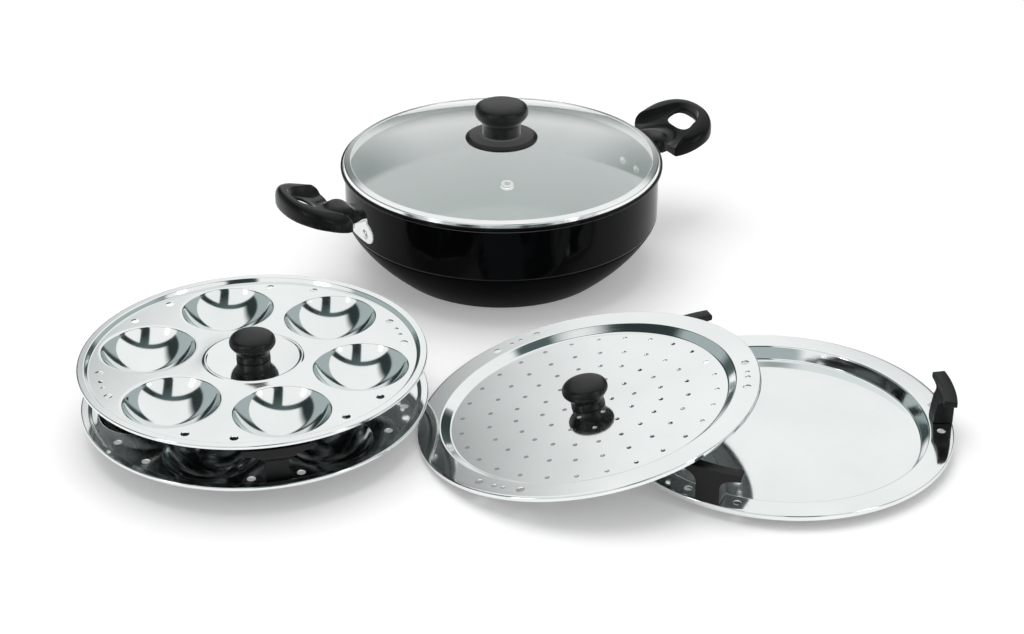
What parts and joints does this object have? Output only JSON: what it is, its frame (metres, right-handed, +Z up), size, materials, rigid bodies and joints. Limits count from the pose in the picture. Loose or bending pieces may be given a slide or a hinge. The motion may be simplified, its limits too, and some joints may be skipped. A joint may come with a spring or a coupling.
{
  "type": "multi kadai",
  "caption": "Dark two-handled kadai with a glass lid, shown with its idli plates, a perforated steamer plate and a flat plate for steaming.",
  "frame": {"origin": "middle of the kadai's flat base, on the table", "axes": "+X to the right as the set is shown, +Y away from the viewer, +Z up"},
  "size_m": [0.6127, 0.5278, 0.1372],
  "materials": {
    "dark_coating": "dark hard coat, glossy band above and satin bowl below",
    "handle_bakelite": "moulded, semi-gloss black",
    "knob_bakelite": "moulded, semi-gloss black",
    "support_bakelite": "moulded, satin black",
    "plate_steel": "mirror polished pressed sheet steel",
    "band_steel": "polished steel band",
    "bracket_steel": "bright pressed steel",
    "fastener_steel": "bright steel",
    "lid_glass": "clear toughened glass",
    "washer_silicone": "matt"
  },
  "bodies": {
    "kadai": {"kadai_bowl": "dark_coating", "side_handle_left": "handle_bakelite", "side_handle_right": "handle_bakelite", "handle_bracket_left": "bracket_steel", "handle_bracket_right": "bracket_steel", "handle_screw_left": "fastener_steel", "handle_screw_right": "fastener_steel", "bracket_rivet_left_a": "fastener_steel", "bracket_rivet_left_b": "fastener_steel", "bracket_rivet_right_a": "fastener_steel", "bracket_rivet_right_b": "fastener_steel"},
    "lid": {"lid_glass": "lid_glass", "lid_rim": "band_steel", "steam_vent": "band_steel", "knob_flange": "knob_bakelite", "lid_knob": "knob_bakelite", "knob_washer": "washer_silicone", "lid_knob_screw": "fastener_steel"},
    "idli_lower": {"idli_plate_lower": "plate_steel", "idli_support_front": "support_bakelite", "idli_support_front_screw_a": "fastener_steel", "idli_support_front_screw_b": "fastener_steel", "idli_support_rear": "support_bakelite", "idli_support_rear_screw_a": "fastener_steel", "idli_support_rear_screw_b": "fastener_steel"},
    "idli_upper": {"idli_plate_upper": "plate_steel", "idli_knob": "knob_bakelite", "idli_knob_screw": "fastener_steel"},
    "flat_tray": {"flat_plate": "plate_steel", "plate_support_right": "support_bakelite", "plate_support_right_screw_a": "fastener_steel", "plate_support_right_screw_b": "fastener_steel", "plate_support_rear": "support_bakelite", "plate_support_rear_screw_a": "fastener_steel", "plate_support_rear_screw_b": "fastener_steel", "plate_support_front": "support_bakelite", "plate_support_front_screw_a": "fastener_steel", "plate_support_front_screw_b": "fastener_steel"},
    "steamer": {"steamer_plate": "plate_steel", "steamer_knob": "knob_bakelite", "steamer_knob_screw": "fastener_steel"}
  },
  "joints": [
    {"name": "lid_lift", "type": "slide", "parent": "kadai", "child": "lid", "axis": [0, 0, 1], "range_m": [0, 0.15]},
    {"name": "idli_lower_lift", "type": "slide", "parent": "kadai", "child": "idli_lower", "axis": [0, 0, 1], "range_m": [0, 0.12]},
    {"name": "idli_upper_lift", "type": "slide", "parent": "idli_lower", "child": "idli_upper", "axis": [0, 0, 1], "range_m": [0, 0.12]},
    {"name": "flat_tray_lift", "type": "slide", "parent": "kadai", "child": "flat_tray", "axis": [0.5736, 0, 0.8192], "range_m": [0, 0.12]},
    {"name": "steamer_lift", "type": "slide", "parent": "flat_tray", "child": "steamer", "axis": [0.5736, 0, 0.8192], "range_m": [0, 0.15]}
  ]
}
